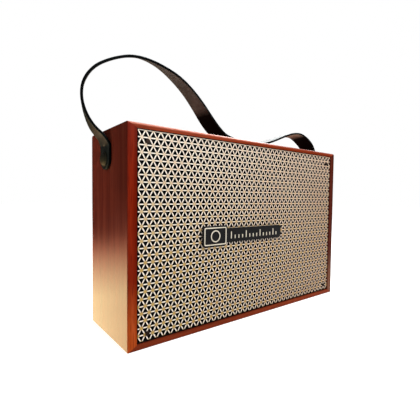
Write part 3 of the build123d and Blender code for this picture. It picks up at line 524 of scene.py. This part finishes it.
def makeGrille():
    # the sheet's rectangle less the openings, cut into triangles, then given its thickness
    low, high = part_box("grille")
    left, right = low.x + grille["sideGap"], high.x - grille["sideGap"]
    foot, top = low.z + grille["topGap"], high.z - grille["topGap"]
    holes = holeOutlines(np.array([left, foot]), np.array([right, top]))
    sheet = [(left, foot), (right, foot), (right, top), (left, top)]
    points = np.concatenate([sheet, holes.reshape(-1, 2)])
    rings = [[0, 1, 2, 3]] + (4 + np.arange(len(holes) * 6).reshape(-1, 6)).tolist()
    corners = [tuple(point) for point in points]
    flat, _, cells, _, _, inside = delaunay_2d_cdt(corners, [], rings, 0, grille["joinedBelow"])
    kept = [cell for cell, origin in zip(cells, inside) if origin == [0]]
    flat = np.array([tuple(point) for point in flat])
    front = np.full(len(flat), low.y + grille["inset"])
    cloud = np.stack([flat[:, 0], front, flat[:, 1]], -1)
    piece = makeObject("grille_sheet", cloud, kept, grilleMaterial(), smooth=False)
    mesh = piece.data
    normals = np.empty(len(mesh.polygons) * 3)
    mesh.polygons.foreach_get("normal", normals)
    if normals.reshape(-1, 3)[:, 1].mean() > 0:
        mesh.flip_normals()
    wall = piece.modifiers.new("wall", "SOLIDIFY")
    wall.thickness = grille["sheet"]
    wall.offset = -1.0
    soften = piece.modifiers.new("soften", "BEVEL")
    soften.width = grille["round"]
    soften.segments = 1
    soften.limit_method = "ANGLE"
    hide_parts("grille")
    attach(piece, "cabinet")
    print("grille made, openings:", len(holes))


makeGrille()


# strap: a route row is the middle line's x, y and z in millimetres and its lean in degrees
strap = {
    "width": 18.0,
    "leather": 2.1,
    "corner": 0.4,
    "cornerPoints": 5,
    "flatPoints": 7,
    "tipRows": 14,
    "tipStart": 0.04,  # radians into the tip's quarter turn
    "tipLeast": 0.02,  # half the width left there
    "tabRows": 8,
    "sideX": 126.35,
    "tipZ": 129.0,
    "tabTop": 147.0,
    "besideZ": 158.0,  # below this the leather keeps clear of the sides
    "route": [
        (-129.4, 2.0, 153.5, -5), (-134.3, 4.4, 160.0, -9), (-138.8, 4.8, 168.0, -15),
        (-142.0, 4.6, 178.0, -18), (-142.4, 4.0, 189.0, -13), (-138.3, 2.6, 199.4, -4),
        (-129.5, 1.0, 208.7, 8), (-113.0, -0.7, 217.2, 15), (-97.0, -1.2, 220.2, 23),
        (-80.0, -0.9, 217.6, 20.5), (-64.5, 0.0, 211.5, 11), (-50.5, 0.4, 202.0, 4.5),
        (-38.5, 0.6, 190.5, -2), (-27.0, 0.7, 178.2, -6.5), (-13.5, 0.6, 168.0, -5.5),
        (2.5, 0.5, 165.5, 0), (19.0, 0.3, 165.2, 3), (35.5, 0.0, 165.8, 4),
        (52.0, -0.7, 170.2, 4), (68.0, -1.4, 175.6, -2), (84.0, -2.0, 181.1, -2),
        (100.0, -2.0, 182.3, -3), (114.3, -2.0, 176.7, -7), (123.0, -1.9, 170.0, -6),
        (127.8, -1.2, 162.0, -3), (128.3, -0.4, 153.5, -1),
    ],
    "pebbles": 1500.0,
    "creases": 420.0,
    "clouds": 60.0,
    "wear": 90.0,
    "outside": ((0.005, 0.007, 0.007), (0.017, 0.024, 0.022)),
    "underside": ((0.070, 0.058, 0.044), (0.165, 0.142, 0.110)),
    "underSpan": (0.215, 0.175),  # from the underside's middle, as a share of the way round
    "edgeSpan": (0.17, 0.22),  # from the outside's middle
    # painted highlight on the underside where the right wave rises
    "pale": (4.0, 4.7, 4.3),  # times the underside's colour
    "paleX": (60 * mm, 84 * mm),
    # painted shade: the underside is made black beyond the right wave's crest and near the cabinet
    "black": (0.006, 0.003, 0.002),
    "underShadeX": (95 * mm, 105 * mm),
    "nearX": (60 * mm, 40 * mm),
    "nearZ": (190 * mm, 184 * mm),
    "edge": (0.002, 0.0015, 0.0015),
    "tabZ": (150 * mm, 143 * mm),
    "tabDull": 0.7,
    "tint": (0.62, 0.88, 0.94, 1),
    "roughness": (0.40, 0.80),
    "gloss": (0.30, 0.04),
    "relief": 0.12 * mm,
    "smoothShare": 0.75,
}


def halved(rows):
    # one more row between each two: nine of each neighbour less one of each beyond, by 16
    before = np.vstack([rows[:1], rows[:-2]])
    after = np.vstack([rows[2:], rows[-1:]])
    made = np.empty((len(rows) * 2 - 1, rows.shape[1]))
    made[0::2] = rows
    made[1::2] = (9 * (rows[:-1] + rows[1:]) - before - after) / 16
    return made


def strapMaterial():
    # u runs round the section: 0.0 to 0.5 is the outside with its edges, the rest the underside
    material, tree, shader = newMaterial("strapLeather")
    u = axisOf(tree, node(tree, "UVMap", uv_map="UVMap").outputs[0], "X")
    vector = placed(tree)
    cell = node(tree, "TexVoronoi", {"Vector": vector, "Scale": strap["pebbles"]}, feature="F1")
    pebble = cell.outputs["Distance"]
    crease = noise(tree, vector, strap["creases"], 5.0, 0.6)
    both = blend(tree, crease, noise(tree, vector, strap["clouds"], 3.0, 0.5), 0.5)
    outside = ramp(tree, both, *zip((0.35, 0.65), strap["outside"]))
    wear = blend(tree, noise(tree, vector, strap["wear"], 3.0, 0.5), crease, 0.2)
    underside = ramp(tree, wear, *zip((0.3, 0.7), strap["underside"]))
    # the underside has a painted highlight where the right wave rises, and a painted shade, black,
    # beyond its crest and near the cabinet
    x, z = axisOf(tree, vector, "X"), axisOf(tree, vector, "Z")
    risen = between(tree, x, *strap["paleX"])
    underside = mixed(tree, risen, underside, strap["pale"], "MULTIPLY")
    low = times(tree, between(tree, z, *strap["nearZ"]), between(tree, x, *strap["nearX"]))
    black = calc(tree, "MAXIMUM", low, between(tree, x, *strap["underShadeX"]))
    underside = mixed(tree, black, underside, strap["black"])
    # 1 over the underside, 0 near and beyond its two long edges
    fromMiddle = calc(tree, "ABSOLUTE", calc(tree, "SUBTRACT", u, 0.75))
    isUnder = between(tree, fromMiddle, *strap["underSpan"])
    colour = mixed(tree, isUnder, outside, underside)
    # the cut edges: far from the middle of the outside, and not on the underside
    fromTop = calc(tree, "ABSOLUTE", calc(tree, "SUBTRACT", u, 0.25))
    rim = between(tree, fromTop, *strap["edgeSpan"])
    onEdge = times(tree, rim, calc(tree, "SUBTRACT", 1.0, isUnder))
    setColour(tree, shader, mixed(tree, onEdge, colour, strap["edge"]))
    setRoughness(tree, shader, blend(tree, crease, isUnder, 0.6), *strap["roughness"])
    setShader(shader, Specular_Tint=strap["tint"])
    # the cut edges, the painted shade on the underside and the tabs by the rivets have little gloss
    shadedUnder = times(tree, black, isUnder)
    tab = times(tree, between(tree, z, *strap["tabZ"]), strap["tabDull"])
    matt = calc(tree, "MAXIMUM", onEdge, calc(tree, "MAXIMUM", shadedUnder, tab))
    setGloss(tree, shader, matt, *strap["gloss"])
    # the underside is smoother than the outside
    rough = calc(tree, "SUBTRACT", 1.0, times(tree, isUnder, strap["smoothShare"]))
    relief = times(tree, blend(tree, crease, pebble, 0.4), rough)
    bump(tree, shader, relief, strap["relief"])
    return material


def strapRows():
    # two flat tabs, tip to tabTop, and the route between them, halved three times; share is how
    # much of the width is left, the sine of a quarter turn over each rounded tip
    half, side = strap["width"] / 2, strap["sideX"]
    ends = [(-side, 0, strap["tabTop"], 0), (side, 0, strap["tabTop"], 0)]
    line = halved(halved(halved(np.array([ends[0], *strap["route"], ends[1]], float))))
    turn = np.linspace(strap["tipStart"], math.pi / 2, strap["tipRows"])
    tipZ = strap["tipZ"] + half * (1 - np.cos(turn))
    tabZ = np.concatenate([tipZ, np.linspace(tipZ[-1], strap["tabTop"], strap["tabRows"])[1:-1]])
    tab = np.zeros((len(tabZ), 4))
    tab[:, 0] = -side
    tab[:, 2] = tabZ
    other = tab[::-1] * np.array([-1, 1, 1, 1])
    share = np.ones(len(tab) * 2 + len(line))
    share[: len(turn)] = np.sin(turn)
    share[-len(turn):] = np.sin(turn)[::-1]
    return np.vstack([tab, line, other]), share, len(tab)


def strapSection():
    # an oblong with four quarter rounds: x across the width, y towards the outside
    half, thick, r = strap["width"] / 2, strap["leather"] / 2, strap["corner"]
    quarter = np.linspace(0, math.pi / 2, strap["cornerPoints"])
    roundX, roundY = half - r + r * np.cos(quarter), thick - r + r * np.sin(quarter)
    flat = np.linspace(1, -1, strap["flatPoints"] + 2)[1:-1] * (half - r)
    right = np.stack([roundX, roundY], -1)
    top = np.stack([flat, np.full_like(flat, thick)], -1)
    left = np.stack([-roundX[::-1], roundY[::-1]], -1)
    upper = np.vstack([right, top, left])
    return np.vstack([upper, -upper])


def makeStrap():
    # point = middle line + width direction by x + outward direction by y, row by row
    rows, share, tabCount = strapRows()
    section = strapSection()
    along = np.gradient(rows[:, :3], axis=0)
    along[: tabCount + 1] = (0, 0, 1)
    along[-tabCount - 1:] = (0, 0, -1)
    along /= np.linalg.norm(along, axis=1, keepdims=True)
    across = np.array([0.0, 1.0, 0.0]) - along * along[:, 1:2]
    across /= np.linalg.norm(across, axis=1, keepdims=True)
    upright = np.cross(along, across)
    lean = np.radians(rows[:, 3:4])
    width = across * np.cos(lean) + upright * np.sin(lean)
    outward = np.cross(along, width)
    # at the rounded tip the width shrinks and the corners keep their radius
    shrink = strap["width"] / 2 * (1 - share[:, None])
    x = np.sign(section[:, 0]) * np.maximum(np.abs(section[:, 0]) - shrink, strap["tipLeast"])
    y = section[:, 1][None, :]
    cloud = rows[:, None, :3] + width[:, None, :] * x[..., None] + outward[:, None, :] * y[..., None]
    # beside the cabinet the leather comes no nearer than its flat tabs do
    nearest = strap["sideX"] - strap["leather"] / 2
    held = np.sign(cloud[..., 0]) * np.maximum(np.abs(cloud[..., 0]), nearest)
    cloud[..., 0] = np.where(cloud[..., 2] < strap["besideZ"], held, cloud[..., 0])
    count, ring = len(rows), len(section)
    faces = gridFaces(count, ring).tolist()
    faces.append(list(range(ring)))
    faces.append(list(range(count * ring - 1, (count - 1) * ring - 1, -1)))
    length = np.linalg.norm(np.diff(rows[:, :3], axis=0), axis=1)
    v = np.concatenate([[0], np.cumsum(length)]) * mm
    u = np.linspace(0, 1, ring, endpoint=False)
    uv = np.stack(np.broadcast_arrays(u[None, :], v[:, None]), -1).reshape(-1, 2)
    piece = makeObject("leather_strap", cloud.reshape(-1, 3) * mm, faces, strapMaterial(), uv=uv)
    turnOutward(piece)
    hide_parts("carry_strap")
    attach(piece, "strap")
    print("strap made, length in metres:", round(float(v[-1]), 3))


makeStrap()


# rivet caps: a post, a flange with a turned groove, and a low dome
rivet = {
    "radius": 5.75 * mm,
    "edge": 0.15 * mm,
    "flange": 0.55 * mm,
    "groove": 4.95 * mm,
    "grooveDepth": 0.18 * mm,
    "height": 3.0 * mm,
    "domeRows": 14,
    "post": 2.4 * mm,  # radius
    "postDepth": 1.9 * mm,
    "turns": 48,
}


def rivetProfile():
    # radius and height from the post's foot over the flange and groove to the crown
    radius, edge, flange = rivet["radius"], rivet["edge"], rivet["flange"]
    groove, post, foot = rivet["groove"], rivet["post"], -rivet["postDepth"]
    angle = np.linspace(0, math.pi / 2, rivet["domeRows"])[1:]
    dome = zip(groove * np.cos(angle), flange + (rivet["height"] - flange) * np.sin(angle))
    points = [
        (0, foot), (post, foot), (post, 0), (radius - edge, 0), (radius, edge),
        (radius, flange - edge), (radius - edge, flange), (groove + 2 * edge, flange),
        (groove + edge, flange - rivet["grooveDepth"]), *dome,
    ]
    return np.array(points)


def makeRivet(name, nodeName, side):
    # the profile turned about the rivet's own axis, which lies along x
    low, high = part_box(nodeName)
    seat = low.x + rivet["height"] if side < 0 else high.x - rivet["height"]
    middleZ = (low.z + high.z) / 2
    profile, turns = rivetProfile(), rivet["turns"]
    angle = np.linspace(0, math.tau, turns, endpoint=False)
    r, h = profile[1:-1, 0][:, None], profile[1:-1, 1][:, None]
    x, y, z = seat + side * h + 0 * angle, r * np.cos(angle), middleZ + r * np.sin(angle)
    poles = [[seat + side * profile[end, 1], 0, middleZ] for end in (0, -1)]
    cloud = np.vstack([np.stack([x, y, z], -1).reshape(-1, 3), poles])
    last = len(cloud) - 2 - turns
    k = np.arange(turns)
    after = (k + 1) % turns
    faces = gridFaces(len(profile) - 2, turns).tolist()
    faces += np.stack([after, k, np.full(turns, len(cloud) - 2)], -1).tolist()
    faces += np.stack([last + k, last + after, np.full(turns, len(cloud) - 1)], -1).tolist()
    piece = makeObject(name, cloud, faces, slotMaterials["antique_brass"])
    turnOutward(piece)
    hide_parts(nodeName)
    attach(piece, "cabinet")


makeRivet("left_rivet_cap", "rivet_left", -1)
makeRivet("right_rivet_cap", "rivet_right", 1)
print("rivets made")


# studio: a white room, three lamps, a pale floor, and a gold and a black card for the gloss
studio = {
    "camera": (-0.21298, -0.24260, 0.10911),
    "yaw": 37.725,
    "pitch": 2.346,
    "roll": 0.644,
    "lens": 27.3705,
    "sensor": 36.0,
    "clip": 0.01,
    "background": 1.0,
    "roomLight": 0.45,
    "roomGloss": 0.30,
    "lamps": {
        "keyLight": {"place": (0.34, -0.85, 0.68), "size": 0.8, "power": 10.4},
        "topLight": {"place": (0.42, 0.10, 0.85), "size": 0.5, "power": 10.5},
        "backLight": {"place": (0.95, 0.85, 0.75), "size": 0.7, "power": 9.0},
    },
    "aimZ": 0.08,
    "floorReach": 4.0,
    "floorZ": -0.0002,
    "floorPale": ((0.42, 0.42, 0.42), (0.4368, 0.4368, 0.4368)),
    "floorGlow": 0.85,
    "warmCard": {
        "x": (-0.60, -0.1242),
        "y": (-0.06, 1.15),
        "z": 0.0001,
        "power": 5.5,
        "fadeY": (0.70, 0.10),
        "fadePower": 1.6,
        "inwardX": (-0.48, -0.36),
        "cloudy": (0.85, 1.15),
        "near": (1.0, 0.77, 0.40),
        "far": (1.0, 0.34, 0.20),
        "farY": (0.10, 0.45),
    },
    "darkCard": {
        "x": (-1.3, 0.1),
        "y": (1.15, 1.15),
        "z": (0.0, 0.75),
        "black": ((0.002, 0.002, 0.002), (0.004, 0.003, 0.003)),
    },
}


def cardMesh(name, x, y, z, material, rows=9):
    # a grid between the corners; when y stays the same it stands up, otherwise it lies flat
    u, v = np.meshgrid(np.linspace(0, 1, rows), np.linspace(0, 1, rows), indexing="ij")
    across = x[0] + u * (x[1] - x[0])
    if y[0] == y[1]:
        cloud = np.stack([across, np.full_like(u, y[0]), z[0] + v * (z[1] - z[0])], -1)
    else:
        cloud = np.stack([across, y[0] + v * (y[1] - y[0]), np.full_like(u, z)], -1)
    faces = gridFaces(rows, rows, closed=False)
    piece = makeObject(name, cloud.reshape(-1, 3), faces, material, smooth=False)
    return piece


def onlyInReflections(piece):
    # glossy rays alone meet it
    piece.visible_camera = False
    piece.visible_diffuse = False
    piece.visible_transmission = False
    piece.visible_shadow = False


def makeFloor():
    # pale and faintly cloudy; it glows for the camera alone, so that it meets the background
    material, tree, shader = newMaterial("paleFloor")
    cloudy = noise(tree, placed(tree), 3.0, 2.0)
    setColour(tree, shader, ramp(tree, cloudy, *zip((0.3, 0.7), studio["floorPale"])))
    seen = node(tree, "LightPath").outputs["Is Camera Ray"]
    tree.links.new(times(tree, seen, studio["floorGlow"]), shader.inputs["Emission Strength"])
    setShader(shader, Roughness=0.9, Specular_IOR_Level=0.1, Emission_Color=(1, 1, 1, 1))
    reach = studio["floorReach"]
    cardMesh("studio_floor", (-reach, reach), (-reach, reach), studio["floorZ"], material)


def makeWarmCard():
    # a glowing gold card on the floor beside the left face, a light seen only in reflections: weaker
    # and redder towards the back, and fading out to the left
    material, tree, shader = newMaterial("goldCard")
    card = studio["warmCard"]
    vector = placed(tree)
    x, y = axisOf(tree, vector, "X"), axisOf(tree, vector, "Y")
    fade = calc(tree, "POWER", between(tree, y, *card["fadeY"]), card["fadePower"])
    strength = times(tree, times(tree, fade, between(tree, x, *card["inwardX"])), card["power"])
    cloudy = between(tree, noise(tree, vector, 9.0, 2.0), 0.0, 1.0, *card["cloudy"])
    tree.links.new(times(tree, strength, cloudy), shader.inputs["Emission Strength"])
    gold = mixed(tree, between(tree, y, *card["farY"]), card["near"], card["far"])
    tree.links.new(gold, shader.inputs["Emission Color"])
    setShader(shader, Base_Color=(0, 0, 0, 1), Roughness=1.0, Specular_IOR_Level=0.0)
    onlyInReflections(cardMesh("studio_warm_card", card["x"], card["y"], card["z"], material))


def makeDarkCard():
    # a black card behind and to the left, so that the upper left face mirrors nothing bright
    material, tree, shader = newMaterial("blackCard")
    card = studio["darkCard"]
    cloudy = noise(tree, placed(tree), 5.0, 2.0)
    setColour(tree, shader, ramp(tree, cloudy, *zip((0.3, 0.7), card["black"])))
    setShader(shader, Roughness=1.0, Specular_IOR_Level=0.0)
    onlyInReflections(cardMesh("studio_dark_card", card["x"], card["y"], card["z"], material))


def makeLamp(name, lamp):
    # a square softbox aimed at the middle of the cabinet
    data = bpy.data.lights.new(name, "AREA")
    data.size = lamp["size"]
    data.energy = lamp["power"]
    made = bpy.data.objects.new(name, data)
    made.location = lamp["place"]
    aim = -made.location
    aim.z += studio["aimZ"]
    made.rotation_euler = aim.to_track_quat("-Z", "Y").to_euler()
    bpy.context.scene.collection.objects.link(made)


def makeRoom():
    # white for the camera, softer for light and for gloss
    world = bpy.data.worlds.new("studio")
    world.use_nodes = True
    tree = world.node_tree
    background = next(n for n in tree.nodes if n.type == "BACKGROUND")
    path = node(tree, "LightPath").outputs
    seen = times(tree, path["Is Camera Ray"], studio["background"] - studio["roomGloss"])
    lit = times(tree, path["Is Diffuse Ray"], studio["roomLight"] - studio["roomGloss"])
    strength = calc(tree, "ADD", studio["roomGloss"], calc(tree, "ADD", seen, lit))
    tree.links.new(strength, background.inputs["Strength"])
    background.inputs["Color"].default_value = (1, 1, 1, 1)
    bpy.context.scene.world = world
    bpy.context.scene.view_settings.view_transform = "Standard"


def makeCamera():
    # looks along yaw from +y towards +x, down by pitch, then rolled about its own line of sight
    yaw, pitch, roll = (math.radians(studio[key]) for key in ("yaw", "pitch", "roll"))
    level = math.cos(pitch)
    forward = np.array([math.sin(yaw) * level, math.cos(yaw) * level, -math.sin(pitch)])
    flatRight = np.array([math.cos(yaw), -math.sin(yaw), 0.0])
    flatUp = np.cross(flatRight, forward)
    matrix = np.eye(4)
    matrix[:3, 0] = math.cos(roll) * flatRight + math.sin(roll) * flatUp
    matrix[:3, 1] = math.cos(roll) * flatUp - math.sin(roll) * flatRight
    matrix[:3, 2] = -forward
    matrix[:3, 3] = studio["camera"]
    data = bpy.data.cameras.new("camera")
    data.lens = studio["lens"]
    data.sensor_width = studio["sensor"]
    data.clip_start = studio["clip"]
    camera = bpy.data.objects.new("camera", data)
    camera.matrix_world = Matrix(matrix.tolist())
    bpy.context.scene.collection.objects.link(camera)
    bpy.context.scene.camera = camera


makeFloor()
makeWarmCard()
makeDarkCard()
for lampName, lamp in studio["lamps"].items():
    makeLamp(lampName, lamp)
makeRoom()
makeCamera()
print("studio ready")
